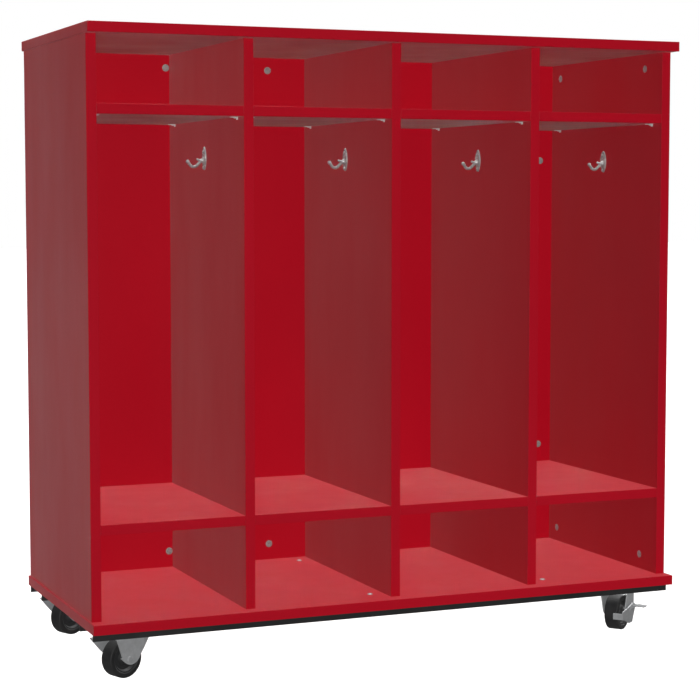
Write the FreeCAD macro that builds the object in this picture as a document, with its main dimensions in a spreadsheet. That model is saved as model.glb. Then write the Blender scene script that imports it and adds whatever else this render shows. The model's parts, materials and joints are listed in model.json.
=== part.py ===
import FreeCAD, Part
import Sketcher
import math
import os

# Mobile four-bay school locker, millimetres.
# +X runs to the right of somebody facing the open front, +Y runs to the back and +Z is up.
# The origin is on the floor under the middle of the top panel, which is as wide and deep as anything.

os.makedirs("parts", exist_ok=True)
doc = FreeCAD.newDocument("school_locker")
Vector = FreeCAD.Vector

# ---------------------------------------------------------------- driving sizes

SIZES = {
    # case
    "overall_width": 1219.2,
    "overall_depth": 508,
    "panel_thickness": 19,
    "carcass_width": 1212,
    "carcass_depth": 478,
    "front_overhang": 27,
    "base_underside": 95,
    "inner_height": 1065,
    "shelf_clearance": 0.4,
    "upper_shelf_level": 922,
    "lower_shelf_level": 159,
    # hidden connectors
    "dowel_diameter": 8,
    "dowel_length": 30,
    "dowel_socket": 11,
    "cam_diameter": 14.8,
    "cam_bore": 15,
    "cam_depth": 13.2,
    "cam_proud": 0.6,
    "cam_inset": 30,
    "back_cam_foot": 33.5,
    "back_cam_head": 26.7,
    "side_cam_inset": 30.5,
    "cam_bolt_diameter": 6,
    "shelf_pin_diameter": 5,
    "shelf_pin_setback": 37,
    "screw_diameter": 4,
    "back_screw_head": 8.4,
    "back_screw_sink": 2,
    # coat hooks
    "hook_setback": 230,
    "hook_level": 844.7,
    "hook_plate_wall": 3,
    "hook_plate_top": 28,
    "hook_plate_foot": 20,
    "hook_plate_half": 10.5,
    "hook_rod": 6,
    "hook_tip": 3.9,
    "hook_screw_high": 17,
    "hook_screw_low": 14,
    # steel channels under the base panel
    "channel_width": 96,
    "channel_height": 15,
    "channel_wall": 3,
    "front_axis_setback": 39.5,
    "rear_axis_setback": 430,
    "bolt_diameter": 6,
    # casters
    "caster_inset": 80,
    "plate_length": 84,
    "plate_width": 70,
    "plate_wall": 3,
    "race_radius": 27,
    "race_drop": 5,
    "crown_top": 79,
    "crown_wall": 2.5,
    "crown_radius": 30,
    "kingpin_diameter": 10,
    "swivel_lead": 16,
    "fork_width": 51,
    "fork_wall": 2.5,
    "fork_back": 30,
    "fork_front": 48,
    "fork_tip_radius": 21.5,
    "fork_tip_lead": 3.5,
    "fork_tip_rise": 12,
    "flare_front": 58,
    "flare_back": 56,
    "flare_knee": 31.5,
    "flare_level": 52,
    "wheel_diameter": 73,
    "wheel_width": 29,
    "tread_bore": 52,
    "axle_diameter": 8,
    "ball_diameter": 4.4,
    "ball_circle": 20,
    "lever_wall": 2.5,
    "lever_gap": 2.6,
    "lever_pin_diameter": 6,
}

sheet = doc.addObject("Spreadsheet::Sheet", "Sizes")
for row, (alias, value) in enumerate(SIZES.items(), start=1):
    sheet.set("A%d" % row, alias)
    sheet.set("B%d" % row, str(value))
    sheet.setAlias("B%d" % row, alias)
doc.recompute()

# Expressions for places that several pieces share.
FRONT = "(Sizes.front_overhang-Sizes.overall_depth/2)"
LEFT = "(-Sizes.carcass_width/2)"
FLOOR = "(Sizes.base_underside+Sizes.panel_thickness)"
BAY = "((Sizes.carcass_width-5*Sizes.panel_thickness)/4)"
PARTITION_DEPTH = "(Sizes.carcass_depth-Sizes.panel_thickness)"
BACK_WIDTH = "(Sizes.carcass_width-2*Sizes.panel_thickness)"
HALF_PANEL = "(Sizes.panel_thickness/2)"
PIN_DROP = "(Sizes.shelf_pin_diameter/2)"


def value(expression):
    """Number that an expression on the sheet gives."""
    result = sheet.evalExpression(expression)
    return float(getattr(result, "Value", result))


def place(piece, x="0", y="0", z="0", turn="0"):
    """Bind a piece's position, and its turn about the vertical, to the sheet."""
    for axis, expression in (("x", x), ("y", y), ("z", z)):
        piece.setExpression("Placement.Base." + axis, expression)
    if turn != "0":
        piece.setExpression("Placement.Rotation.Angle", turn)


def new_body(label):
    body = doc.addObject("PartDesign::Body", label)
    body.Label = label
    return body


def origin_plane(body, role):
    return [item for item in body.Origin.OriginFeatures if item.Role == role][0]


def new_sketch(body, role, name, offset="0"):
    """Sketch on one of the body's own planes, moved along the plane's normal.

    XY faces up, YZ faces +X and XZ faces -Y.
    """
    sketch = body.newObject("Sketcher::SketchObject", name)
    sketch.AttachmentSupport = [(origin_plane(body, role), "")]
    sketch.MapMode = "FlatFace"
    if offset != "0":
        sketch.setExpression("AttachmentOffset.Base.z", offset)
    return sketch


def bind_point(sketch, geometry, point, x, y):
    """Tie a point of a sketch to the sheet."""
    for kind, expression, axis in (("DistanceX", x, -2), ("DistanceY", y, -1)):
        number = value(expression)
        if abs(number) < 1e-9:
            sketch.addConstraint(Sketcher.Constraint("PointOnObject", geometry, point, axis))
        else:
            index = sketch.addConstraint(Sketcher.Constraint(kind, -1, 1, geometry, point, number))
            sketch.setExpression("Constraints[%d]" % index, expression)


def add_circle(sketch, x, y, diameter):
    centre = Vector(value(x), value(y), 0)
    size = value(diameter)
    index = sketch.addGeometry(Part.Circle(centre, Vector(0, 0, 1), size / 2), False)
    bind_point(sketch, index, 3, x, y)
    limit = sketch.addConstraint(Sketcher.Constraint("Diameter", index, size))
    sketch.setExpression("Constraints[%d]" % limit, diameter)


def add_polygon(sketch, corners):
    """Closed outline of straight lines through corners given as expressions."""
    points = [Vector(value(x), value(y), 0) for x, y in corners]
    first = sketch.GeometryCount
    count = len(points)
    for number in range(count):
        line = Part.LineSegment(points[number], points[(number + 1) % count])
        sketch.addGeometry(line, False)
    for number in range(count):
        after = first + (number + 1) % count
        sketch.addConstraint(Sketcher.Constraint("Coincident", first + number, 2, after, 1))
    for number, (x, y) in enumerate(corners):
        bind_point(sketch, first + number, 1, x, y)


def add_rectangle(sketch, left, low, right, high):
    add_polygon(sketch, [(left, low), (right, low), (right, high), (left, high)])


def add_pad(body, sketch, length, name, reverse=False):
    pad = body.newObject("PartDesign::Pad", name)
    pad.Profile = sketch
    pad.Reversed = reverse
    pad.setExpression("Length", length)
    sketch.Visibility = False
    doc.recompute()
    return pad


def add_pocket(body, sketch, depth, name, reverse=False):
    """Cut the sketch into the body and make sure that it removed something."""
    before = body.Shape.Volume
    pocket = body.newObject("PartDesign::Pocket", name)
    pocket.Profile = sketch
    pocket.Reversed = reverse
    pocket.setExpression("Length", depth)
    doc.recompute()
    if body.Shape.Volume > before - 1e-3:
        raise RuntimeError("%s in %s cuts nothing" % (name, body.Label))
    return pocket


def drill(body, role, name, centres, diameter, depth, offset="0", reverse=False):
    """Round holes of one size and depth, bored from one plane."""
    sketch = new_sketch(body, role, name + "_centres", offset)
    for x, y in centres:
        add_circle(sketch, x, y, diameter)
    return add_pocket(body, sketch, depth, name, reverse)


def add_revolution(body, sketch, axis, name):
    turned = body.newObject("PartDesign::Revolution", name)
    turned.Profile = sketch
    turned.ReferenceAxis = (sketch, [axis])
    turned.Angle = 360
    doc.recompute()
    return turned


def fillet_edges(body, base, wanted, radius, name):
    """Round the edges of a feature that the test picks out."""
    names = ["Edge%d" % number for number, edge in enumerate(base.Shape.Edges, start=1) if wanted(edge)]
    fillet = body.newObject("PartDesign::Fillet", name)
    fillet.Base = (base, names)
    fillet.Radius = radius
    doc.recompute()
    return fillet


def group_of(label, solids):
    """One node that holds a set of identical fasteners as separate solids."""
    piece = doc.addObject("Part::Feature", label)
    piece.Label = label
    piece.Shape = Part.makeCompound(solids)
    return piece


def moved(solid, position, axis=Vector(0, 0, 1), angle=0):
    copy = solid.copy()
    copy.Placement = FreeCAD.Placement(position, FreeCAD.Rotation(axis, angle)).multiply(copy.Placement)
    return copy


pieces = []


def keep(piece):
    pieces.append(piece)
    return piece


# ---------------------------------------------------------------- shared hole places

# Partition number 1 to 3: distance of its left face from the carcass's left face.
def partition_left(number):
    return "(%d*(%s+Sizes.panel_thickness))" % (number, BAY)


DOWEL_SETBACKS = ["60", "230", "400"]
CAM_SETBACKS = ["67", "423"]
BACK_CAM_PLACES = ["(%s/2+%s)" % (BACK_WIDTH, shift) for shift in ("-541.5", "-315.2", "-92.5")]
BACK_CAM_PLACES += ["(%s/2+%s)" % (BACK_WIDTH, shift) for shift in ("92.5", "315.2", "541.5")]
BACK_SIDE_CAM_LEVELS = ["217", "855"]
BACK_SCREW_LEVELS = ["90", "532.5", "975"]
SHELF_PIN_SETBACKS = ["Sizes.shelf_pin_setback", "(%s-Sizes.shelf_pin_setback)" % PARTITION_DEPTH]
SHELF_PIN_LEVELS = {
    "upper": "(Sizes.upper_shelf_level-%s)" % PIN_DROP,
    "lower": "(Sizes.lower_shelf_level-%s)" % PIN_DROP,
}
CHANNEL_BOLT_PLACES = ["568", "949"]
CHANNEL_SCREW_PLACES = ["186", "406", "756", "1030"]
CHANNEL_AXES = {"front": "Sizes.front_axis_setback", "rear": "Sizes.rear_axis_setback"}
BOLT_SHIFT = {"front": "(-1.5)", "rear": "(-10)"}
SCREW_SHIFT = "22"
PLATE_HOLES = [(x, y) for x in (-32, 32) for y in (-25, 25)]
CASTER_CENTRES = {"left": "Sizes.caster_inset", "right": "(Sizes.carcass_width-Sizes.caster_inset)"}


def plate_hole_places(axis):
    """Caster screws along one channel, from the carcass's left face and from the given line."""
    places = []
    for centre in CASTER_CENTRES.values():
        for x, y in PLATE_HOLES:
            places.append(("(%s+%d)" % (centre, x), "(%s+(%d))" % (axis, y)))
    return places


# ---------------------------------------------------------------- case panels

def wide_panel(label, level, is_base):
    """Top or base panel, which overhangs the upright panels."""
    body = new_body(label)
    outline = new_sketch(body, "XY_Plane", label + "_outline")
    add_rectangle(outline, "0", "0", "Sizes.overall_width", "Sizes.overall_depth")
    add_pad(body, outline, "Sizes.panel_thickness", label + "_board")
    margin = "((Sizes.overall_width-Sizes.carcass_width)/2)"
    face = "Sizes.panel_thickness" if is_base else "0"

    def spot(x, y):
        return ("(%s+%s)" % (margin, x), "(Sizes.front_overhang+%s)" % y)

    dowels = [spot("(%s+%s)" % (partition_left(number), HALF_PANEL), setback)
              for number in (1, 2, 3) for setback in DOWEL_SETBACKS]
    drill(body, "XY_Plane", label + "_dowel_holes", dowels, "Sizes.dowel_diameter",
          "(Sizes.dowel_socket+0.5)", face, not is_base)
    bolts = [spot(HALF_PANEL, setback) for setback in CAM_SETBACKS]
    bolts += [spot("(Sizes.carcass_width-%s)" % HALF_PANEL, setback) for setback in CAM_SETBACKS]
    back_line = "(Sizes.carcass_depth-%s)" % HALF_PANEL
    bolts += [spot("(Sizes.panel_thickness+%s)" % place_x, back_line) for place_x in BACK_CAM_PLACES]
    drill(body, "XY_Plane", label + "_cam_bolt_holes", bolts, "Sizes.cam_bolt_diameter",
          "Sizes.dowel_socket", face, not is_base)
    if is_base:
        through = [spot(x, "(%s+%s)" % (CHANNEL_AXES[end], BOLT_SHIFT[end]))
                   for end in CHANNEL_AXES for x in CHANNEL_BOLT_PLACES]
        drill(body, "XY_Plane", label + "_bolt_holes", through, "(Sizes.bolt_diameter+0.4)",
              "Sizes.panel_thickness", "0", True)
        lags = [spot(x, y) for end in CHANNEL_AXES for x, y in plate_hole_places(CHANNEL_AXES[end])]
        drill(body, "XY_Plane", label + "_caster_screw_holes", lags, "Sizes.bolt_diameter", "12", "0", True)
        screws = [spot(x, "(%s+%s)" % (CHANNEL_AXES[end], SCREW_SHIFT))
                  for end in CHANNEL_AXES for x in CHANNEL_SCREW_PLACES]
        drill(body, "XY_Plane", label + "_screw_holes", screws, "Sizes.screw_diameter", "12", "0", True)
    place(body, "-Sizes.overall_width/2", "(%s-Sizes.front_overhang)" % FRONT, level)
    return keep(body)


def hook_hole_places():
    return [("Sizes.hook_setback", "(Sizes.hook_level+Sizes.hook_screw_high)"),
            ("Sizes.hook_setback", "(Sizes.hook_level-Sizes.hook_screw_low)")]


def side_panel(label, is_left):
    body = new_body(label)
    outline = new_sketch(body, "YZ_Plane", label + "_outline")
    add_rectangle(outline, "0", "0", "Sizes.carcass_depth", "Sizes.inner_height")
    add_pad(body, outline, "Sizes.panel_thickness", label + "_board")
    inner_face = "Sizes.panel_thickness" if is_left else "0"
    inward = not is_left
    levels = ["Sizes.cam_inset", "(Sizes.inner_height-Sizes.cam_inset)"]
    cams = [(setback, level) for setback in CAM_SETBACKS for level in levels]
    drill(body, "YZ_Plane", label + "_cam_bores", cams, "Sizes.cam_bore", "Sizes.cam_depth",
          inner_face, inward)
    edge = [(HALF_PANEL, setback) for setback in CAM_SETBACKS]
    drill(body, "XY_Plane", label + "_foot_bores", edge, "Sizes.cam_bolt_diameter",
          "(Sizes.cam_inset-6)", "0", True)
    drill(body, "XY_Plane", label + "_head_bores", edge, "Sizes.cam_bolt_diameter",
          "(Sizes.cam_inset-6)", "Sizes.inner_height")
    pins = [(setback, level) for setback in SHELF_PIN_SETBACKS for level in SHELF_PIN_LEVELS.values()]
    drill(body, "YZ_Plane", label + "_pin_holes", pins, "Sizes.shelf_pin_diameter", "9",
          inner_face, inward)
    back_line = "(Sizes.carcass_depth-%s)" % HALF_PANEL
    backs = [(back_line, level) for level in BACK_SIDE_CAM_LEVELS]
    drill(body, "YZ_Plane", label + "_back_bolt_holes", backs, "Sizes.cam_bolt_diameter",
          "Sizes.dowel_socket", inner_face, inward)
    if not is_left:
        drill(body, "YZ_Plane", label + "_hook_holes", hook_hole_places(), "Sizes.screw_diameter",
              "14", inner_face, inward)
    x = LEFT if is_left else "(Sizes.carcass_width/2-Sizes.panel_thickness)"
    place(body, x, FRONT, FLOOR)
    return keep(body)


def partition(number):
    label = "partition_%d" % number
    body = new_body(label)
    outline = new_sketch(body, "YZ_Plane", label + "_outline")
    add_rectangle(outline, "0", "0", PARTITION_DEPTH, "Sizes.inner_height")
    add_pad(body, outline, "Sizes.panel_thickness", label + "_board")
    pins = [(setback, level) for setback in SHELF_PIN_SETBACKS for level in SHELF_PIN_LEVELS.values()]
    drill(body, "YZ_Plane", label + "_pin_holes", pins, "Sizes.shelf_pin_diameter",
          "Sizes.panel_thickness", "0", True)
    drill(body, "YZ_Plane", label + "_hook_holes", hook_hole_places(), "Sizes.screw_diameter",
          "14", "0", True)
    edge = [(HALF_PANEL, setback) for setback in DOWEL_SETBACKS]
    depth = "(Sizes.dowel_length-Sizes.dowel_socket+0.5)"
    drill(body, "XY_Plane", label + "_foot_dowels", edge, "Sizes.dowel_diameter", depth, "0", True)
    drill(body, "XY_Plane", label + "_head_dowels", edge, "Sizes.dowel_diameter", depth,
          "Sizes.inner_height")
    screws = [(HALF_PANEL, level) for level in BACK_SCREW_LEVELS]
    drill(body, "XZ_Plane", label + "_back_screws", screws, "Sizes.screw_diameter", "32",
          "(-%s)" % PARTITION_DEPTH, True)
    place(body, "(%s+%s)" % (LEFT, partition_left(number)), FRONT, FLOOR)
    return keep(body)


def back_panel():
    label = "back_panel"
    body = new_body(label)
    outline = new_sketch(body, "XZ_Plane", label + "_outline")
    add_rectangle(outline, "0", "0", BACK_WIDTH, "Sizes.inner_height")
    add_pad(body, outline, "Sizes.panel_thickness", label + "_board", True)
    levels = ["Sizes.back_cam_foot", "(Sizes.inner_height-Sizes.back_cam_head)"]
    cams = [(x, level) for x in BACK_CAM_PLACES for level in levels]
    sides = ["Sizes.side_cam_inset", "(%s-Sizes.side_cam_inset)" % BACK_WIDTH]
    cams += [(x, level) for x in sides for level in BACK_SIDE_CAM_LEVELS]
    drill(body, "XZ_Plane", label + "_cam_bores", cams, "Sizes.cam_bore", "Sizes.cam_depth")
    edge = [(x, HALF_PANEL) for x in BACK_CAM_PLACES]
    drill(body, "XY_Plane", label + "_foot_bores", edge, "Sizes.cam_bolt_diameter",
          "(Sizes.back_cam_foot-6)", "0", True)
    drill(body, "XY_Plane", label + "_head_bores", edge, "Sizes.cam_bolt_diameter",
          "(Sizes.back_cam_head-6)", "Sizes.inner_height")
    side_edge = [(HALF_PANEL, level) for level in BACK_SIDE_CAM_LEVELS]
    drill(body, "YZ_Plane", label + "_left_bores", side_edge, "Sizes.cam_bolt_diameter",
          "(Sizes.side_cam_inset-6)", "0", True)
    drill(body, "YZ_Plane", label + "_right_bores", side_edge, "Sizes.cam_bolt_diameter",
          "(Sizes.side_cam_inset-6)", BACK_WIDTH)
    screws = [("(%s-%s)" % (partition_left(number), HALF_PANEL), level)
              for number in (1, 2, 3) for level in BACK_SCREW_LEVELS]
    drill(body, "XZ_Plane", label + "_screw_holes", screws, "(Sizes.screw_diameter+0.6)",
          "Sizes.panel_thickness")
    seats = drill(body, "XZ_Plane", label + "_screw_seats", screws, "(Sizes.back_screw_head+0.2)",
                  "Sizes.back_screw_sink", "(-Sizes.panel_thickness)", True)
    seats.TaperAngle = -45
    doc.recompute()
    y = "(%s+%s)" % (FRONT, PARTITION_DEPTH)
    place(body, "(%s+Sizes.panel_thickness)" % LEFT, y, FLOOR)
    return keep(body)


def shelf(row, number, level):
    """Shelf of bay 1 to 4, a little narrower than its bay so that it drops onto its pins."""
    label = "%s_shelf_%d" % (row, number)
    body = new_body(label)
    outline = new_sketch(body, "XY_Plane", label + "_outline")
    width = "(%s-2*Sizes.shelf_clearance)" % BAY
    add_rectangle(outline, "0", "0", width, "(%s-Sizes.shelf_clearance)" % PARTITION_DEPTH)
    add_pad(body, outline, "Sizes.panel_thickness", label + "_board")
    x = "(%s+%s-%s+Sizes.shelf_clearance)" % (LEFT, partition_left(number), BAY)
    place(body, x, FRONT, "(%s+%s)" % (FLOOR, level))
    return keep(body)


wide_panel("top_panel", "(%s+Sizes.inner_height)" % FLOOR, False)
wide_panel("base_panel", "Sizes.base_underside", True)
side_panel("left_side_panel", True)
side_panel("right_side_panel", False)
for number in (1, 2, 3):
    partition(number)
back_panel()
for number in (1, 2, 3, 4):
    shelf("upper", number, "Sizes.upper_shelf_level")
    shelf("lower", number, "Sizes.lower_shelf_level")

# ---------------------------------------------------------------- hidden and small case hardware

front = value(FRONT)
left = value(LEFT)
floor = value(FLOOR)
thickness = value("Sizes.panel_thickness")
inner_height = value("Sizes.inner_height")
ceiling = floor + inner_height
back_face = front + value(PARTITION_DEPTH)
inner_left = left + thickness
inner_right = -inner_left
bay = value(BAY)


def partition_middle(number):
    return left + value(partition_left(number)) + thickness / 2


def panel_dowels():
    """Beech dowels between the partitions and the top and base panels."""
    radius = value("Sizes.dowel_diameter") / 2
    length = value("Sizes.dowel_length")
    socket = value("Sizes.dowel_socket")
    dowel = Part.makeCylinder(radius, length)
    solids = []
    for number in (1, 2, 3):
        for setback in DOWEL_SETBACKS:
            x = partition_middle(number)
            y = front + float(setback)
            solids.append(moved(dowel, Vector(x, y, floor - socket)))
            solids.append(moved(dowel, Vector(x, y, ceiling + socket - length)))
    return keep(group_of("panel_dowels", solids))


def cam_places():
    """Face centre and outward direction of each cam, with the way to the panel it pulls."""
    inset = value("Sizes.cam_inset")
    foot = value("Sizes.back_cam_foot")
    head = value("Sizes.back_cam_head")
    side_inset = value("Sizes.side_cam_inset")
    places = []
    for x, outward in ((inner_left, Vector(1, 0, 0)), (inner_right, Vector(-1, 0, 0))):
        for setback in CAM_SETBACKS:
            y = front + float(setback)
            places.append((Vector(x, y, floor + inset), outward, Vector(0, 0, -1), inset))
            places.append((Vector(x, y, ceiling - inset), outward, Vector(0, 0, 1), inset))
    outward = Vector(0, -1, 0)
    for expression in BACK_CAM_PLACES:
        x = inner_left + value(expression)
        places.append((Vector(x, back_face, floor + foot), outward, Vector(0, 0, -1), foot))
        places.append((Vector(x, back_face, ceiling - head), outward, Vector(0, 0, 1), head))
    ends = ((inner_left + side_inset, Vector(-1, 0, 0)), (inner_right - side_inset, Vector(1, 0, 0)))
    for x, pull in ends:
        for level in BACK_SIDE_CAM_LEVELS:
            places.append((Vector(x, back_face, floor + float(level)), outward, pull, side_inset))
    return places


def cam_locks():
    """Round cam nuts that stand slightly proud, each with a cross slot for the screwdriver."""
    radius = value("Sizes.cam_diameter") / 2
    depth = value("Sizes.cam_depth")
    proud = value("Sizes.cam_proud")
    barrel = Part.makeCylinder(radius, depth - 0.2 + proud - 0.4, Vector(0, 0, 0.2 - depth))
    crown = Part.makeCone(radius, radius - 0.8, 0.4, Vector(0, 0, proud - 0.4))
    dish = Part.makeCone(3.6, 5.0, 1.0, Vector(0, 0, proud - 1.0))
    slot = Part.makeBox(7.0, 1.4, 3.0, Vector(-3.5, -0.7, proud - 3.0))
    cross = slot.fuse(Part.makeBox(1.4, 7.0, 3.0, Vector(-0.7, -3.5, proud - 3.0)))
    cam = barrel.fuse(crown).cut(dish).cut(cross).removeSplitter()
    solids = []
    for centre, outward, pull, inset in cam_places():
        turn = FreeCAD.Rotation(Vector(0, 0, 1), outward)
        solids.append(moved(cam, centre, turn.Axis, math.degrees(turn.Angle)))
    return keep(group_of("cam_locks", solids))


def cam_bolts():
    """Steel bolts that each cam draws in, screwed into the neighbouring panel."""
    radius = value("Sizes.cam_bolt_diameter") / 2
    socket = value("Sizes.dowel_socket")
    solids = []
    for centre, outward, pull, inset in cam_places():
        start = centre - outward * (thickness / 2) + pull * (inset + socket - 0.5)
        length = inset + socket - 0.5 - value("Sizes.cam_bore") / 2 - 0.3
        solids.append(Part.makeCylinder(radius, length, start, pull * -1))
    return keep(group_of("cam_bolts", solids))


def shelf_pins(row):
    """Steel shelf supports: a pin in the panel, a collar and a flat spoon under the shelf."""
    radius = value("Sizes.shelf_pin_diameter") / 2
    pin = Part.makeCylinder(radius, 9, Vector(-8, 0, 0), Vector(1, 0, 0))
    collar = Part.makeBox(1.0, 7, 2 * radius, Vector(0, -3.5, -radius))
    spoon = Part.makeBox(12.6, 9, 1.4, Vector(0.9, -4.5, radius - 1.4))
    rib = Part.makeBox(6, 1.6, 1.6, Vector(0.9, -0.8, radius - 2.8))
    support = pin.fuse([collar, spoon, rib]).removeSplitter()
    level = floor + value(SHELF_PIN_LEVELS[row])
    solids = []
    for number in (1, 2, 3, 4):
        low = inner_left + (number - 1) * (bay + thickness)
        for expression in SHELF_PIN_SETBACKS:
            y = front + value(expression)
            solids.append(moved(support, Vector(low, y, level)))
            solids.append(moved(support, Vector(low + bay, y, level), Vector(0, 0, 1), 180))
    return keep(group_of("%s_shelf_pins" % row, solids))


def cross_recess(reach, low, height):
    """Cutter for the screwdriver's cross in a screw head."""
    along = Part.makeBox(2 * reach, 0.8, height, Vector(-reach, -0.4, low))
    across = Part.makeBox(0.8, 2 * reach, height, Vector(-0.4, -reach, low))
    return along.fuse(across)


def pan_screw(shank_radius, length, head_radius, head_height):
    """Screw along +Z with its head's seat at z = 0 and its shank below."""
    middle = head_height * 0.5
    shank = Part.makeCylinder(shank_radius, length, Vector(0, 0, -length))
    head = Part.makeCylinder(head_radius, middle)
    dome = Part.makeCone(head_radius, head_radius * 0.62, middle, Vector(0, 0, middle))
    recess = cross_recess(head_radius * 0.55, head_height * 0.45, head_height)
    return shank.fuse([head, dome]).cut(recess).removeSplitter()


def countersunk_screw(shank_radius, length, head_radius):
    """Screw along +Z with its flat head flush at z = 0 and its shank below."""
    sink = head_radius - shank_radius
    shank = Part.makeCylinder(shank_radius, length, Vector(0, 0, -length))
    head = Part.makeCone(shank_radius, head_radius, sink, Vector(0, 0, -sink))
    recess = cross_recess(head_radius * 0.55, -1.2, 2.0)
    return shank.fuse(head).cut(recess).removeSplitter()


def back_screws():
    """Flush screws through the back panel into the rear edges of the partitions."""
    screw = countersunk_screw(value("Sizes.screw_diameter") / 2, thickness + 30,
                              value("Sizes.back_screw_head") / 2)
    rear = back_face + thickness
    solids = []
    for number in (1, 2, 3):
        for level in BACK_SCREW_LEVELS:
            spot = Vector(partition_middle(number), rear, floor + float(level))
            solids.append(moved(screw, spot, Vector(1, 0, 0), -90))
    return keep(group_of("back_panel_screws", solids))


panel_dowels()
cam_locks()
cam_bolts()
shelf_pins("upper")
shelf_pins("lower")
back_screws()

# ---------------------------------------------------------------- coat hooks

def hook_path(sketch):
    """Centre line of the prong: out of the wall, down through a bowl and up to the tip."""
    start = Vector(-1, 0, 0)
    bend = Vector(-4, 0, 0)
    slope_start = Vector(-4 - 7 * math.sin(math.pi / 4), -7 + 7 * math.cos(math.pi / 4), 0)
    slope_end = slope_start + Vector(-7.8, -7.8, 0)
    bowl = slope_end + Vector(-9 * math.sin(math.pi / 4), 9 * math.cos(math.pi / 4), 0)
    bowl_end = bowl + Vector(-9 * 0.8, -9 * 0.6, 0)
    tip = bowl_end + Vector(-0.6 * 8.5, 0.8 * 8.5, 0)
    half = math.pi / 8
    knee = Vector(-4 - 7 * math.sin(half), -7 + 7 * math.cos(half), 0)
    lines = [Part.LineSegment(start, bend), Part.Arc(bend, knee, slope_start),
             Part.LineSegment(slope_start, slope_end),
             Part.Arc(slope_end, bowl + Vector(0, -9, 0), bowl_end), Part.LineSegment(bowl_end, tip)]
    for line in lines:
        sketch.addGeometry(line, False)
    for number in range(sketch.GeometryCount):
        sketch.addConstraint(Sketcher.Constraint("Block", number))
    return tip


def coat_hook(number, x):
    """Cast coat hook: pointed oval wall plate, tapered root, one prong with a ball tip."""
    label = "coat_hook_%d" % number
    body = new_body(label)
    outline = new_sketch(body, "YZ_Plane", label + "_plate_outline", "(-Sizes.hook_plate_wall)")
    top = value("Sizes.hook_plate_top")
    foot = -value("Sizes.hook_plate_foot")
    half = value("Sizes.hook_plate_half")
    middle = (top + foot) / 2
    high = Vector(0, top, 0)
    low = Vector(0, foot, 0)
    outline.addGeometry(Part.Arc(high, Vector(half, middle, 0), low), False)
    outline.addGeometry(Part.Arc(low, Vector(-half, middle, 0), high), False)
    for item in (0, 1):
        outline.addConstraint(Sketcher.Constraint("Block", item))
    plate = add_pad(body, outline, "Sizes.hook_plate_wall", label + "_plate")

    def is_point(edge):
        ends = edge.Vertexes
        upright = len(ends) == 2 and abs(ends[0].X - ends[1].X) > 1
        return upright and abs(ends[0].Y) < 0.01

    rounded = fillet_edges(body, plate, is_point, 3.0, label + "_plate_ends")

    def is_rim(edge):
        return all(abs(point.X + value("Sizes.hook_plate_wall")) < 0.01 for point in edge.Vertexes)

    fillet_edges(body, rounded, is_rim, 1.2, label + "_plate_rim")
    root = new_sketch(body, "XZ_Plane", label + "_root_outline")
    wall = value("Sizes.hook_plate_wall")
    add_polygon(root, [("%g" % -(wall - 0.5), "0"), ("-12", "0"), ("-12", "2.9"), ("-9", "3.4"),
                       ("-5", "5.2"), ("%g" % -(wall - 0.5), "7.5")])
    add_revolution(body, root, "H_Axis", label + "_root")
    path = new_sketch(body, "XZ_Plane", label + "_prong_path")
    tip = hook_path(path)
    section = new_sketch(body, "YZ_Plane", label + "_prong_section", "(-1)")
    add_circle(section, "0", "0", "Sizes.hook_rod")
    doc.recompute()
    prong = body.newObject("PartDesign::AdditivePipe", label + "_prong")
    prong.Profile = section
    prong.Spine = (path, ["Edge%d" % edge for edge in range(1, 6)])
    doc.recompute()
    ball = body.newObject("PartDesign::AdditiveSphere", label + "_ball")
    ball.AttachmentSupport = [(origin_plane(body, "XY_Plane"), "")]
    ball.MapMode = "FlatFace"
    ball.setExpression("Radius", "Sizes.hook_tip")
    ball.AttachmentOffset = FreeCAD.Placement(Vector(tip.x, 0, tip.y), FreeCAD.Rotation())
    doc.recompute()
    nib_turn = FreeCAD.Rotation(Vector(0, 1, 0), -70)
    nib = body.newObject("PartDesign::AdditiveCylinder", label + "_nib")
    nib.AttachmentSupport = [(origin_plane(body, "XY_Plane"), "")]
    nib.MapMode = "FlatFace"
    nib.Radius = 2.2
    nib.Height = 9
    nib.AttachmentOffset = FreeCAD.Placement(Vector(-7, 0, -1), nib_turn)
    doc.recompute()
    nib_end = Vector(-7, 0, -1) + nib_turn.multVec(Vector(0, 0, 9))
    cap = body.newObject("PartDesign::AdditiveSphere", label + "_nib_end")
    cap.AttachmentSupport = [(origin_plane(body, "XY_Plane"), "")]
    cap.MapMode = "FlatFace"
    cap.Radius = 2.2
    cap.AttachmentOffset = FreeCAD.Placement(nib_end, FreeCAD.Rotation())
    doc.recompute()
    drill(body, "YZ_Plane", label + "_screw_holes",
          [("0", "Sizes.hook_screw_high"), ("0", "(-Sizes.hook_screw_low)")],
          "(Sizes.screw_diameter+0.2)", "(Sizes.hook_plate_wall+1)", "0")
    place(body, x, "(%s+Sizes.hook_setback)" % FRONT, "(%s+Sizes.hook_level)" % FLOOR)
    return keep(body)


HOOK_WALLS = ["(%s+%s)" % (LEFT, partition_left(number)) for number in (1, 2, 3)]
HOOK_WALLS.append("(Sizes.carcass_width/2-Sizes.panel_thickness)")
for number, wall_x in enumerate(HOOK_WALLS, start=1):
    coat_hook(number, wall_x)


def hook_screws():
    screw = pan_screw(value("Sizes.screw_diameter") / 2, 15, 3.4, 1.8)
    wall = value("Sizes.hook_plate_wall")
    y = front + value("Sizes.hook_setback")
    solids = []
    for wall_x in HOOK_WALLS:
        for shift in (value("Sizes.hook_screw_high"), -value("Sizes.hook_screw_low")):
            spot = Vector(value(wall_x) - wall, y, floor + value("Sizes.hook_level") + shift)
            solids.append(moved(screw, spot, Vector(0, 1, 0), -90))
    return keep(group_of("hook_screws", solids))


hook_screws()

# ---------------------------------------------------------------- channels under the base

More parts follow.
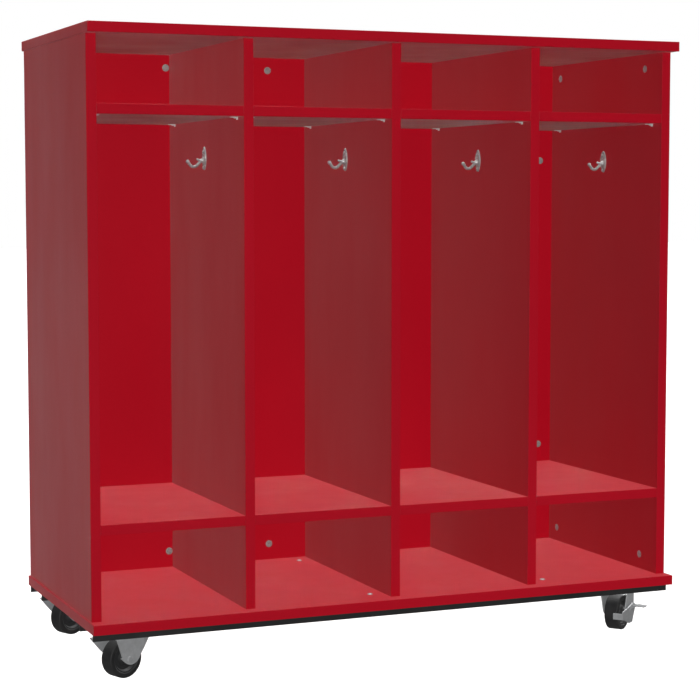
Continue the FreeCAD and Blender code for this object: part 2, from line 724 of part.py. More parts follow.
def channel(end):
    """Steel channel along the base, web up, that carries one pair of casters."""
    label = "%s_channel" % end
    body = new_body(label)
    section = new_sketch(body, "YZ_Plane", label + "_section")
    half = "(Sizes.channel_width/2)"
    inside = "(Sizes.channel_width/2-Sizes.channel_wall)"
    web = "(Sizes.channel_height-Sizes.channel_wall)"
    add_polygon(section, [("(-%s)" % half, "0"), ("(-%s)" % inside, "0"), ("(-%s)" % inside, web),
                          (inside, web), (inside, "0"), (half, "0"),
                          (half, "Sizes.channel_height"), ("(-%s)" % half, "Sizes.channel_height")])
    add_pad(body, section, "Sizes.carcass_width", label + "_rail")
    drill(body, "XY_Plane", label + "_caster_holes", plate_hole_places("0"), "Sizes.bolt_diameter",
          "(Sizes.channel_wall+1)", "Sizes.channel_height")
    bolts = [(x, BOLT_SHIFT[end]) for x in CHANNEL_BOLT_PLACES]
    drill(body, "XY_Plane", label + "_bolt_holes", bolts, "(Sizes.bolt_diameter+0.4)",
          "(Sizes.channel_wall+1)", "Sizes.channel_height")
    screws = [(x, SCREW_SHIFT) for x in CHANNEL_SCREW_PLACES]
    drill(body, "XY_Plane", label + "_screw_holes", screws, "(Sizes.screw_diameter+0.4)",
          "(Sizes.channel_wall+1)", "Sizes.channel_height")
    place(body, LEFT, "(%s+%s)" % (FRONT, CHANNEL_AXES[end]),
          "(Sizes.base_underside-Sizes.channel_height)")
    return keep(body)


for end in CHANNEL_AXES:
    channel(end)

web_face = value("Sizes.base_underside") - value("Sizes.channel_wall")


def hex_prism(across_flats, height, base):
    radius = across_flats / math.sqrt(3)
    corners = [base + Vector(radius * math.cos(math.radians(60 * step)),
                             radius * math.sin(math.radians(60 * step)), 0) for step in range(6)]
    face = Part.Face(Part.makePolygon(corners + corners[:1]))
    return face.extrude(Vector(0, 0, height))


def channel_bolts():
    """Low round-head bolts through the base panel and the channel webs."""
    radius = value("Sizes.bolt_diameter") / 2
    dome = Part.makeCylinder(5.6, 0.8, Vector(0, 0, floor))
    dome = dome.fuse(Part.makeCone(5.6, 3.4, 1.1, Vector(0, 0, floor + 0.8)))
    shank = Part.makeCylinder(radius, floor - web_face + 8, Vector(0, 0, web_face - 8))
    bolt = dome.fuse(shank).removeSplitter()
    solids = []
    for end, axis in CHANNEL_AXES.items():
        y = front + value(axis) + value(BOLT_SHIFT[end])
        for x in CHANNEL_BOLT_PLACES:
            solids.append(moved(bolt, Vector(left + float(x), y, 0)))
    return keep(group_of("channel_bolts", solids))


def channel_nuts():
    """Hex nuts under the channel webs."""
    nut = hex_prism(10, 5, Vector(0, 0, web_face - 5))
    nut = nut.cut(Part.makeCylinder(value("Sizes.bolt_diameter") / 2, 20, Vector(0, 0, web_face - 10)))
    solids = []
    for end, axis in CHANNEL_AXES.items():
        y = front + value(axis) + value(BOLT_SHIFT[end])
        for x in CHANNEL_BOLT_PLACES:
            solids.append(moved(nut, Vector(left + float(x), y, 0)))
    return keep(group_of("channel_nuts", solids))


def channel_screws():
    """Wood screws from below, through the webs and into the base panel."""
    screw = pan_screw(value("Sizes.screw_diameter") / 2, 14, 4.0, 2.2)
    solids = []
    for axis in CHANNEL_AXES.values():
        y = front + value(axis) + float(SCREW_SHIFT)
        for x in CHANNEL_SCREW_PLACES:
            spot = Vector(left + float(x), y, web_face)
            solids.append(moved(screw, spot, Vector(1, 0, 0), 180))
    return keep(group_of("channel_screws", solids))


channel_bolts()
channel_nuts()
channel_screws()

# ---------------------------------------------------------------- casters

# Swivel turn of each caster as it stands, in degrees, and whether it has a wheel brake.
CASTERS = {
    "front_left": {"x": "left", "end": "front", "turn": 22, "brake": False},
    "front_right": {"x": "right", "end": "front", "turn": 38, "brake": True},
    "rear_left": {"x": "left", "end": "rear", "turn": 25, "brake": False},
    "rear_right": {"x": "right", "end": "rear", "turn": 34, "brake": True},
}
PLATE_TOP = "(Sizes.base_underside-Sizes.channel_wall)"
PLATE_FOOT = "(%s-Sizes.plate_wall)" % PLATE_TOP
RACE_FOOT = "(%s-Sizes.race_drop)" % PLATE_FOOT
CROWN_FOOT = "(Sizes.crown_top-Sizes.crown_wall)"
AXLE_LEVEL = "(Sizes.wheel_diameter/2)"
AXLE_BACK = "(-Sizes.swivel_lead)"
FORK_HALF = "(Sizes.fork_width/2)"
FORK_INSIDE = "(Sizes.fork_width/2-Sizes.fork_wall)"


def caster_place(piece, caster, turned=True):
    x = "(%s+%s)" % (LEFT, CASTER_CENTRES[caster["x"]])
    y = "(%s+%s)" % (FRONT, CHANNEL_AXES[caster["end"]])
    place(piece, x, y, "0", str(caster["turn"]) if turned else "0")
    return keep(piece)


def caster_plate(name, caster):
    """Top plate with the pressed upper ball race under it."""
    label = "caster_plate_" + name
    body = new_body(label)
    outline = new_sketch(body, "XY_Plane", label + "_outline", PLATE_FOOT)
    length = "(Sizes.plate_length/2)"
    width = "(Sizes.plate_width/2)"
    add_rectangle(outline, "(-%s)" % length, "(-%s)" % width, length, width)
    plate = add_pad(body, outline, "Sizes.plate_wall", label + "_sheet")

    def is_corner(edge):
        ends = edge.Vertexes
        return abs(ends[0].Z - ends[1].Z) > 1

    fillet_edges(body, plate, is_corner, 6.0, label + "_corners")
    race = new_sketch(body, "XY_Plane", label + "_race_outline", RACE_FOOT)
    add_circle(race, "0", "0", "(2*Sizes.race_radius)")
    add_pad(body, race, "Sizes.race_drop", label + "_race")
    drill(body, "XY_Plane", label + "_kingpin_hole", [("0", "0")], "Sizes.kingpin_diameter",
          "(Sizes.plate_wall+Sizes.race_drop)", RACE_FOOT, True)
    holes = [(str(x), str(y)) for x, y in PLATE_HOLES]
    drill(body, "XY_Plane", label + "_screw_holes", holes, "Sizes.bolt_diameter", "Sizes.plate_wall",
          PLATE_FOOT, True)
    return caster_place(body, caster, False)


def caster_axis(caster):
    """Foot of a caster's swivel axis."""
    x = left + value(CASTER_CENTRES[caster["x"]])
    y = front + value(CHANNEL_AXES[caster["end"]])
    return Vector(x, y, 0)


def kingpins():
    """Rivets that hold the forks under the plates and let them turn."""
    radius = value("Sizes.kingpin_diameter") / 2
    seat = value(CROWN_FOOT) - 0.3
    shank = Part.makeCylinder(radius, value(PLATE_TOP) - 0.2 - seat + 1, Vector(0, 0, seat - 1))
    head = Part.makeCylinder(8, 1.2, Vector(0, 0, seat - 1.2))
    cap = Part.makeCone(6.5, 8, 0.8, Vector(0, 0, seat - 2.0))
    rivet = shank.fuse([head, cap]).removeSplitter()
    return keep(group_of("kingpins", [moved(rivet, caster_axis(item)) for item in CASTERS.values()]))


def swivel_balls():
    """Bearing balls between each plate's race and its fork's crown."""
    radius = value("Sizes.ball_diameter") / 2
    circle = value("Sizes.ball_circle")
    level = (value("Sizes.crown_top") + value(RACE_FOOT)) / 2
    solids = []
    for caster in CASTERS.values():
        for step in range(16):
            angle = math.radians(360 / 16 * step)
            shift = Vector(circle * math.cos(angle), circle * math.sin(angle), level)
            solids.append(Part.makeSphere(radius, caster_axis(caster) + shift))
    return keep(group_of("swivel_balls", solids))


def fork_side_outline(sketch, braked):
    """Side view of the fork: flat crown, raked edges and a round tip about the axle.

    A braked fork has a narrow crown. A plain fork flares out on both sides of the wheel.
    """
    axle = Vector(value(AXLE_BACK), value(AXLE_LEVEL), 0)
    centre = axle + Vector(value("Sizes.fork_tip_lead"), value("Sizes.fork_tip_rise"), 0)
    radius = value("Sizes.fork_tip_radius")
    top = value("Sizes.crown_top")
    if braked:
        front_edge = [(value("Sizes.fork_front"), top - 8.5), (value("Sizes.fork_front"), top)]
        back_edge = [(-value("Sizes.fork_back"), top)]
    else:
        knee = value("Sizes.flare_level")
        front_edge = [(value("Sizes.flare_knee"), knee), (value("Sizes.flare_front"), top)]
        back_edge = [(-value("Sizes.flare_back"), top), (-value("Sizes.flare_knee"), knee)]
    edge = [Vector(axle.x + x, z, 0) for x, z in front_edge + back_edge]

    def touch(point, side):
        """Where the straight edge from the point meets the tip circle."""
        reach = point - centre
        angle = math.atan2(reach.y, reach.x) + side * math.acos(radius / reach.Length)
        return centre + Vector(radius * math.cos(angle), radius * math.sin(angle), 0)

    chain = [touch(edge[0], -1)] + edge + [touch(edge[-1], 1)]
    low = centre + Vector(0, -radius, 0)
    for start, end in zip(chain, chain[1:]):
        sketch.addGeometry(Part.LineSegment(start, end), False)
    sketch.addGeometry(Part.Arc(chain[-1], low, chain[0]), False)
    for item in range(sketch.GeometryCount):
        sketch.addConstraint(Sketcher.Constraint("Block", item))


def axle_point(x, z):
    """Side-view sketch point given from the axle."""
    return ("(-Sizes.swivel_lead+(%g))" % x, "(%s+(%g))" % (AXLE_LEVEL, z))


def fork(name, caster):
    """Pressed yoke: crown, lower race and two raked legs whose leading edges turn inwards.

    The leg on the right of somebody who faces the way it rolls is cut back behind the wheel.
    """
    label = "fork_" + name
    body = new_body(label)
    outline = new_sketch(body, "XZ_Plane", label + "_side", "(-%s)" % FORK_HALF)
    fork_side_outline(outline, caster["brake"])
    blank = add_pad(body, outline, "Sizes.fork_width", label + "_blank")
    top = value("Sizes.crown_top")

    def is_bend(edge):
        ends = edge.Vertexes
        level = all(abs(point.Z - top) < 0.01 for point in ends)
        return level and abs(ends[0].X - ends[1].X) > 10

    fillet_edges(body, blank, is_bend, 4.0, label + "_bends")
    bend, slope, reach = (28, 0.575, 52) if caster["brake"] else (33, 0.364, 62)
    turn_in = "(-Sizes.swivel_lead+%d)" % bend
    nose = "(-Sizes.swivel_lead+%d)" % reach
    for side, sign in (("near", "-"), ("far", "")):
        corner = new_sketch(body, "XY_Plane", label + "_" + side + "_corner_outline")
        tucked = "(%s(%s-%g))" % (sign, FORK_HALF, (reach - bend) * slope)
        add_polygon(corner, [(turn_in, "(%s26)" % sign), (turn_in, "(%s%s)" % (sign, FORK_HALF)),
                             (nose, tucked), (nose, "(%s26)" % sign)])
        add_pocket(body, corner, "90", label + "_" + side + "_corner", True)
    slot = new_sketch(body, "XY_Plane", label + "_slot_outline")
    inner_bend = bend - 1.25 * slope
    inner_reach = reach - 5.3
    inner_turn = "(-Sizes.swivel_lead+%g)" % inner_bend
    inner_nose = "(-Sizes.swivel_lead+%g)" % inner_reach
    shift = (inner_reach - inner_bend) * slope
    near = [("(-90)", "(-%s)" % FORK_INSIDE), (inner_turn, "(-%s)" % FORK_INSIDE),
            (inner_nose, "(-%s+%g)" % (FORK_INSIDE, shift)), ("60", "(-%s+%g)" % (FORK_INSIDE, shift))]
    far = [("60", "(%s-%g)" % (FORK_INSIDE, shift)), (inner_nose, "(%s-%g)" % (FORK_INSIDE, shift)),
           (inner_turn, FORK_INSIDE), ("(-90)", FORK_INSIDE)]
    add_polygon(slot, near + far)
    add_pocket(body, slot, CROWN_FOOT, label + "_slot", True)
    crown = new_sketch(body, "XY_Plane", label + "_crown_outline", CROWN_FOOT)
    add_circle(crown, "0", "0", "(2*Sizes.crown_radius)")
    add_pad(body, crown, "Sizes.crown_wall", label + "_crown")
    race = new_sketch(body, "XY_Plane", label + "_race_outline", "Sizes.crown_top")
    add_circle(race, "0", "0", "(2*Sizes.crown_radius)")
    add_circle(race, "0", "0", "(2*Sizes.crown_radius-7)")
    add_pad(body, race, "(Sizes.race_drop-0.5)", label + "_race")
    drill(body, "XY_Plane", label + "_kingpin_hole", [("0", "0")], "(Sizes.kingpin_diameter+0.1)",
          "Sizes.crown_wall", "Sizes.crown_top")
    drill(body, "XZ_Plane", label + "_axle_holes", [(AXLE_BACK, AXLE_LEVEL)], "Sizes.axle_diameter",
          "Sizes.fork_width", FORK_HALF)
    relief = new_sketch(body, "XZ_Plane", label + "_relief_outline", FORK_HALF)
    if not caster["brake"]:
        above = "(Sizes.crown_top+1)"
        add_polygon(relief, [("(-Sizes.swivel_lead-60)", above), ("(-Sizes.swivel_lead-30.3)", above),
                             axle_point(-16.8, 4.9), axle_point(-60, 4.9)])
        add_pocket(body, relief, "(Sizes.fork_wall+12)", label + "_relief")
    else:
        shoulder = "(%s)" % CROWN_FOOT
        add_polygon(relief, [("(-Sizes.swivel_lead-34)", shoulder), ("(-Sizes.swivel_lead-7)", shoulder),
                             axle_point(-19, 10), axle_point(-34, 10)])
        add_pocket(body, relief, "(Sizes.fork_wall+0.1)", label + "_relief")
        drill(body, "XZ_Plane", label + "_lever_pin_hole", [(LEVER_PIN_X, LEVER_PIN_Z)],
              "Sizes.lever_pin_diameter", "Sizes.fork_wall", FORK_HALF)
    return caster_place(body, caster)


def axle(name, caster):
    """Wheel axle with a low domed head at each end."""
    label = "axle_" + name
    body = new_body(label)
    profile = new_sketch(body, "YZ_Plane", label + "_profile")
    shank = "(Sizes.axle_diameter/2)"
    seat = FORK_HALF
    shoulder = "(%s+1.2)" % FORK_HALF
    crest = "(%s+2.2)" % FORK_HALF
    right = [(crest, "0"), (crest, "4.4"), (shoulder, "6.6"), (seat, "6.6"), (seat, shank)]
    corners = right + [("(-%s)" % y, z) for y, z in reversed(right)]
    add_polygon(profile, corners)
    add_revolution(body, profile, "H_Axis", label + "_bolt")
    return wheel_place(body, caster)


def wheel_place(piece, caster):
    """Put a piece made about its own axle line onto the caster's axle."""
    x = "(%s+%s-Sizes.swivel_lead*cos(%d))" % (LEFT, CASTER_CENTRES[caster["x"]], caster["turn"])
    y = "(%s+%s-Sizes.swivel_lead*sin(%d))" % (FRONT, CHANNEL_AXES[caster["end"]], caster["turn"])
    place(piece, x, y, AXLE_LEVEL, str(caster["turn"]))
    return keep(piece)


def wheel_hub(name, caster):
    """Hard core of the wheel with long bosses that run between the fork's legs."""
    label = "wheel_hub_" + name
    body = new_body(label)
    profile = new_sketch(body, "YZ_Plane", label + "_profile")
    bore = "(Sizes.axle_diameter/2+0.05)"
    rim = "(Sizes.tread_bore/2)"
    boss = "(%s-1)" % FORK_INSIDE
    right = [(boss, bore), (boss, "8.5"), ("14", "9.5"), ("11", "12"), ("7", "14"), ("7", "21"),
             ("(Sizes.wheel_width/2-2)", "(Sizes.tread_bore/2-2)"), ("(Sizes.wheel_width/2-2)", rim)]
    corners = right + [("(-%s)" % y, z) for y, z in reversed(right)]
    add_polygon(profile, corners)
    add_revolution(body, profile, "H_Axis", label + "_core")
    return wheel_place(body, caster)


def wheel_tread(name, caster):
    """Rubber tyre moulded round the core, with rounded shoulders."""
    label = "wheel_tread_" + name
    body = new_body(label)
    profile = new_sketch(body, "YZ_Plane", label + "_profile")
    half = "(Sizes.wheel_width/2)"
    rim = "(Sizes.tread_bore/2)"
    outer = "(Sizes.wheel_diameter/2)"
    seat = "(Sizes.wheel_width/2-2)"
    right = [(seat, rim), (half, "(%s+2)" % rim), (half, outer)]
    corners = right + [("(-%s)" % y, z) for y, z in reversed(right)]
    add_polygon(profile, corners)
    tyre = add_revolution(body, profile, "H_Axis", label + "_tyre")
    radius = value(outer)

    def is_shoulder(edge):
        return hasattr(edge.Curve, "Radius") and abs(edge.Curve.Radius - radius) < 0.01

    fillet_edges(body, tyre, is_shoulder, 2.5, label + "_shoulders")
    return wheel_place(body, caster)


# Brake lever, in the fork's own frame: the pin is above and in front of the axle.
LEVER_PIN_X = "(-Sizes.swivel_lead+16)"
LEVER_PIN_Z = "(%s+12)" % AXLE_LEVEL
LEVER_FACE = "(%s+Sizes.lever_gap)" % FORK_HALF


def brake_lever(name, caster):
    """Side lever: a plate over the fork's leg, a foot pedal outside and a shoe behind the tyre."""
    label = "brake_lever_" + name
    body = new_body(label)
    cheek = new_sketch(body, "XZ_Plane", label + "_cheek_outline", LEVER_FACE)
    corners = [(22, 6), (22, 15), (17, 18.5), (11, 18), (-14, 13), (-44, 9),
               (-46, 5), (-46, -6), (-44, -8), (-38, -8), (-10, -20), (7, -20)]
    add_polygon(cheek, [axle_point(x, z) for x, z in corners])
    add_pad(body, cheek, "Sizes.lever_wall", label + "_cheek")
    shoe = new_sketch(body, "XZ_Plane", label + "_shoe_outline", LEVER_FACE)
    add_polygon(shoe, [axle_point(x, z) for x, z in [(-43.4, -8), (-40.1, -8), (-40.1, 4), (-43.4, 4)]])
    add_pad(body, shoe, "20", label + "_shoe", True)
    pedal = new_sketch(body, "YZ_Plane", label + "_pedal_outline", "(-Sizes.swivel_lead-8)")
    face = value(LEVER_FACE) + value("Sizes.lever_wall") - 0.5
    curve = [(0, 4), (0, 13), (6, 16.4), (15, 17.6), (31, 16.4),
             (31, 14.8), (15, 15.2), (7.5, 12.6), (3, 8)]
    add_polygon(pedal, [("%g" % -(face + y), axle_point(0, z)[1]) for y, z in curve])
    add_pad(body, pedal, "18", label + "_pedal")
    drill(body, "XZ_Plane", label + "_pin_hole", [(LEVER_PIN_X, LEVER_PIN_Z)],
          "(Sizes.lever_pin_diameter+0.12)", "Sizes.lever_wall",
          "(%s+Sizes.lever_wall)" % LEVER_FACE)
    return caster_place(body, caster)


def brake_pin(name, caster):
    """Rivet with a spacing collar that the brake lever turns on."""
    label = "brake_pin_" + name
    body = new_body(label)
    profile = new_sketch(body, "XZ_Plane", label + "_shank_outline", FORK_INSIDE)
    add_circle(profile, LEVER_PIN_X, LEVER_PIN_Z, "Sizes.lever_pin_diameter")
    reach = "(Sizes.fork_wall+Sizes.lever_gap+Sizes.lever_wall+1.8)"
    add_pad(body, profile, reach, label + "_shank")
    collar = new_sketch(body, "XZ_Plane", label + "_collar_outline", FORK_HALF)
    add_circle(collar, LEVER_PIN_X, LEVER_PIN_Z, "9")
    add_pad(body, collar, "(Sizes.lever_gap-0.3)", label + "_collar")
    head = new_sketch(body, "XZ_Plane", label + "_head_outline",
                      "(%s+Sizes.lever_wall+0.3)" % LEVER_FACE)
    add_circle(head, LEVER_PIN_X, LEVER_PIN_Z, "10")
    add_pad(body, head, "1.5", label + "_head")
    return caster_place(body, caster)


for name, caster in CASTERS.items():
    caster_plate(name, caster)
    fork(name, caster)
    axle(name, caster)
    wheel_hub(name, caster)
    wheel_tread(name, caster)
    if caster["brake"]:
        brake_lever(name, caster)
        brake_pin(name, caster)


def caster_screws():
    """Hex-head lag screws that hold the four plates to the channels and the base panel."""
    radius = value("Sizes.bolt_diameter") / 2
    seat = value(PLATE_FOOT)
    screw = hex_prism(10, 4, Vector(0, 0, seat - 4))
    screw = screw.fuse(Part.makeCylinder(radius, 17.5, Vector(0, 0, seat))).removeSplitter()
    solids = []
    for caster in CASTERS.values():
        for shift_x, shift_y in PLATE_HOLES:
            solids.append(moved(screw, caster_axis(caster) + Vector(shift_x, shift_y, 0)))
    return keep(group_of("caster_screws", solids))


kingpins()
swivel_balls()
caster_screws()

# ---------------------------------------------------------------- check and write

doc.recompute()
for item in doc.Objects:
    if "Invalid" in item.State or "Error" in item.State:
        raise RuntimeError("%s failed: %s" % (item.Label, item.State))
for piece in pieces:
    shape = piece.Shape
    if shape.isNull() or not shape.isValid() or not shape.Solids:
        raise RuntimeError("%s has no valid solid" % piece.Label)
    shape.exportStep("parts/%s.step" % piece.Label)
print("%d pieces written" % len(pieces))
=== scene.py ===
import bpy
import bmesh
import json
import math
from mathutils import Euler, Matrix, Vector


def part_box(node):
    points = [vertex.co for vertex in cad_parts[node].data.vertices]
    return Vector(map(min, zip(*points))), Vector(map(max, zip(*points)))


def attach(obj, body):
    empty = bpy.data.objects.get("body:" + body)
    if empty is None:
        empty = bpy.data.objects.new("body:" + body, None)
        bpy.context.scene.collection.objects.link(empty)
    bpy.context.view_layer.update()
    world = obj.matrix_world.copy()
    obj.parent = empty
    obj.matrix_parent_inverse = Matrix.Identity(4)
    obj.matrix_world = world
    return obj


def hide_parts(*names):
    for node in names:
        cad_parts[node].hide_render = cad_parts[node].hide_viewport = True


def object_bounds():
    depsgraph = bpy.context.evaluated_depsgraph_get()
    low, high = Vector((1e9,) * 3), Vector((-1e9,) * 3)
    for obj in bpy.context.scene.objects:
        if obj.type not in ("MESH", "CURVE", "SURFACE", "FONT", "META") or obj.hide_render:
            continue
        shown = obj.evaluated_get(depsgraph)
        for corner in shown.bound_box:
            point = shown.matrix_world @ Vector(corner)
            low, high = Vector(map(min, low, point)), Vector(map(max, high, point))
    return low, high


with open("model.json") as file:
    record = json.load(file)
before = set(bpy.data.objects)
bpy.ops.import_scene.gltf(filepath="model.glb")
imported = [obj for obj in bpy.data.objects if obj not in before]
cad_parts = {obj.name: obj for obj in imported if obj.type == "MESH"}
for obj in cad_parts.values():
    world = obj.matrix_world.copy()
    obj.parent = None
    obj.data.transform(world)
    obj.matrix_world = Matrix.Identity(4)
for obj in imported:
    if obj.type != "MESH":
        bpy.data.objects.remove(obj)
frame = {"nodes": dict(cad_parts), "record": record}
cad_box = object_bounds()
nodes = frame["nodes"]

# ---------------------------------------------------------------- camera

# Place in metres, turn and dip in degrees, lens and sensor in millimetres.
CAMERA_PLACE = (-1.5041, -3.6009, 0.8843)
CAMERA_TURN = 22.654
CAMERA_DIP = 4.492
CAMERA_LENS = 99.07
CAMERA_SENSOR = 36.0
CAMERA_REACH = 50.0


def add_camera():
    data = bpy.data.cameras.new("camera")
    data.lens = CAMERA_LENS
    data.sensor_width = CAMERA_SENSOR
    data.clip_end = CAMERA_REACH
    camera = bpy.data.objects.new("camera", data)
    camera.location = CAMERA_PLACE
    camera.rotation_euler = Euler((math.radians(90 - CAMERA_DIP), 0, math.radians(-CAMERA_TURN)))
    bpy.context.scene.collection.objects.link(camera)
    bpy.context.scene.camera = camera


# ---------------------------------------------------------------- material helpers

def new_material(name):
    """Material with its node tree, its main shader and the object coordinates."""
    material = bpy.data.materials.new(name)
    material.use_nodes = True
    tree = material.node_tree
    shader = tree.nodes["Principled BSDF"]
    place = tree.nodes.new("ShaderNodeTexCoord")
    return material, tree, shader, place.outputs["Object"]


def noise(tree, vector, scale, detail=3.0, roughness=0.5):
    texture = tree.nodes.new("ShaderNodeTexNoise")
    texture.inputs["Scale"].default_value = scale
    texture.inputs["Detail"].default_value = detail
    texture.inputs["Roughness"].default_value = roughness
    tree.links.new(vector, texture.inputs["Vector"])
    return texture.outputs["Fac"]


def stretched(tree, vector, scale):
    mapping = tree.nodes.new("ShaderNodeMapping")
    mapping.inputs["Scale"].default_value = scale
    tree.links.new(vector, mapping.inputs["Vector"])
    return mapping.outputs["Vector"]


def ramp(tree, factor, stops):
    """Colour ramp from (position, colour) stops."""
    node = tree.nodes.new("ShaderNodeValToRGB")
    for element, (position, colour) in zip(node.color_ramp.elements, stops):
        element.position = position
        element.color = (*colour, 1.0)
    tree.links.new(factor, node.inputs["Fac"])
    return node.outputs["Color"]


def levels(tree, factor, low, high, start=0.3, end=0.7):
    """Spread a noise value over the range from low to high."""
    node = tree.nodes.new("ShaderNodeMapRange")
    node.inputs["From Min"].default_value = start
    node.inputs["From Max"].default_value = end
    node.inputs["To Min"].default_value = low
    node.inputs["To Max"].default_value = high
    tree.links.new(factor, node.inputs["Value"])
    return node.outputs["Result"]


def mixed(tree, factor, first, second, mode="MIX"):
    """Mix two colours; each input is a number, a colour or a socket."""
    node = tree.nodes.new("ShaderNodeMix")
    node.data_type = "RGBA"
    node.blend_type = mode
    for value, socket in zip((factor, first, second), (node.inputs[0], node.inputs[6], node.inputs[7])):
        if isinstance(value, (int, float)):
            socket.default_value = value
        elif isinstance(value, tuple):
            socket.default_value = (*value, 1.0)
        else:
            tree.links.new(value, socket)
    return node.outputs[2]


def add_bump(tree, shader, height, strength, distance):
    bump = tree.nodes.new("ShaderNodeBump")
    bump.inputs["Strength"].default_value = strength
    bump.inputs["Distance"].default_value = distance
    tree.links.new(height, bump.inputs["Height"])
    tree.links.new(bump.outputs["Normal"], shader.inputs["Normal"])


def tint(colour, amount):
    """The colour made darker or lighter."""
    return tuple(max(0.0, min(1.0, channel * amount)) for channel in colour)


# ---------------------------------------------------------------- materials

RED = (0.30, 0.0021, 0.0095)
RUBBER_CLEAN = (0.008, 0.008, 0.0085)
RUBBER_DUSTY = (0.02, 0.0195, 0.019)
BEECH_DARK = (0.42, 0.26, 0.13)
BEECH_PALE = (0.62, 0.43, 0.25)
FLOOR_GREY = (0.2, 0.2, 0.2)
FLOOR_WHITE_LOW = (0.93, 0.93, 0.93)
FLOOR_WHITE_HIGH = (0.95, 0.95, 0.95)
SPECK_DARK = (0.94, 0.94, 0.94)
SPECK_PALE = (1.0, 1.0, 1.0)

# Mean roughness of the laminate, and how strongly each dull surface mirrors the lights.
LAMINATE_ROUGHNESS = 0.42
LAMINATE_SHINE = 0.08
COATING_SHINE = 0.15
RUBBER_SHINE = 0.2
METALLIC_SHARE = 0.3

# Polish marks per metre along each axis; the level ones are close together in height.
FINE_LEVEL_GRAIN = (60.0, 60.0, 900.0)
COARSE_LEVEL_GRAIN = (40.0, 40.0, 500.0)
EVEN_GRAIN = (300.0, 300.0, 300.0)
POLISHED_GRAIN = (90.0, 90.0, 90.0)


def laminate_material(name):
    """Melamine laminate: fine orange-peel grain, faint cloudiness, handling marks."""
    material, tree, shader, place = new_material(name)
    cloud = noise(tree, place, scale=2.2, detail=4.0, roughness=0.55)
    base = ramp(tree, cloud, [(0.3, tint(RED, 0.95)), (0.7, tint(RED, 1.04))])
    speck = noise(tree, place, scale=420.0, detail=2.0, roughness=0.6)
    fine = ramp(tree, speck, [(0.3, SPECK_DARK), (0.7, SPECK_PALE)])
    tree.links.new(mixed(tree, 1.0, base, fine, "MULTIPLY"), shader.inputs["Base Color"])
    smudge = noise(tree, stretched(tree, place, (5.0, 5.0, 1.6)), scale=1.0, detail=6.0, roughness=0.6)
    worn = levels(tree, smudge, low=LAMINATE_ROUGHNESS - 0.05, high=LAMINATE_ROUGHNESS + 0.07)
    tree.links.new(worn, shader.inputs["Roughness"])
    shader.inputs["Specular IOR Level"].default_value = LAMINATE_SHINE
    peel = noise(tree, place, scale=900.0, detail=2.0, roughness=0.5)
    add_bump(tree, shader, peel, strength=0.12, distance=0.0004)
    return material


def metal_material(name, colour, dullness, grain=FINE_LEVEL_GRAIN, strength=0.15):
    """Plated steel: directional polish marks and patchy plating."""
    material, tree, shader, place = new_material(name)
    patch = noise(tree, place, scale=70.0, detail=4.0, roughness=0.6)
    base = ramp(tree, patch, [(0.3, tint(colour, 0.86)), (0.7, tint(colour, 1.08))])
    tree.links.new(base, shader.inputs["Base Color"])
    shader.inputs["Metallic"].default_value = METALLIC_SHARE
    marks = noise(tree, stretched(tree, place, grain), scale=1.0, detail=3.0, roughness=0.6)
    polish = levels(tree, marks, low=dullness - 0.08, high=dullness + 0.1)
    tree.links.new(polish, shader.inputs["Roughness"])
    add_bump(tree, shader, marks, strength=strength, distance=0.0003)
    return material


def powder_coat_material(name, colour, dullness):
    """Black powder coat: pebbled skin with dusty patches."""
    material, tree, shader, place = new_material(name)
    dust = noise(tree, place, scale=9.0, detail=5.0, roughness=0.6)
    base = ramp(tree, dust, [(0.35, colour), (0.75, tint(colour, 1.7))])
    tree.links.new(base, shader.inputs["Base Color"])
    skin = levels(tree, dust, low=dullness, high=dullness + 0.15)
    tree.links.new(skin, shader.inputs["Roughness"])
    shader.inputs["Specular IOR Level"].default_value = COATING_SHINE
    pebbles = noise(tree, place, scale=700.0, detail=2.0, roughness=0.5)
    add_bump(tree, shader, pebbles, strength=0.25, distance=0.0004)
    return material


def rubber_material(name):
    """Tyre rubber: dull black with floor dust in its grain."""
    material, tree, shader, place = new_material(name)
    dust = noise(tree, place, scale=45.0, detail=5.0, roughness=0.65)
    base = ramp(tree, dust, [(0.4, RUBBER_CLEAN), (0.8, RUBBER_DUSTY)])
    tree.links.new(base, shader.inputs["Base Color"])
    tree.links.new(levels(tree, dust, low=0.5, high=0.72), shader.inputs["Roughness"])
    shader.inputs["Specular IOR Level"].default_value = RUBBER_SHINE
    skin = noise(tree, place, scale=500.0, detail=3.0, roughness=0.6)
    add_bump(tree, shader, skin, strength=0.3, distance=0.0005)
    return material


def wood_material(name):
    """Beech dowel: long straight grain."""
    material, tree, shader, place = new_material(name)
    fibres = stretched(tree, place, (900.0, 900.0, 40.0))
    grain = noise(tree, fibres, scale=1.0, detail=4.0, roughness=0.6)
    base = ramp(tree, grain, [(0.3, BEECH_DARK), (0.7, BEECH_PALE)])
    tree.links.new(base, shader.inputs["Base Color"])
    shader.inputs["Roughness"].default_value = 0.6
    add_bump(tree, shader, grain, strength=0.3, distance=0.0003)
    return material


def floor_material(name):
    """White studio floor that throws little light back at the locker."""
    material, tree, shader, place = new_material(name)
    cloud = noise(tree, place, scale=1.5, detail=2.0)
    white = ramp(tree, cloud, [(0.3, FLOOR_WHITE_LOW), (0.7, FLOOR_WHITE_HIGH)])
    seen = tree.nodes.new("ShaderNodeLightPath").outputs["Is Camera Ray"]
    tree.links.new(mixed(tree, seen, FLOOR_GREY, white), shader.inputs["Base Color"])
    shader.inputs["Roughness"].default_value = 0.9
    shader.inputs["Specular IOR Level"].default_value = 0.0
    return material


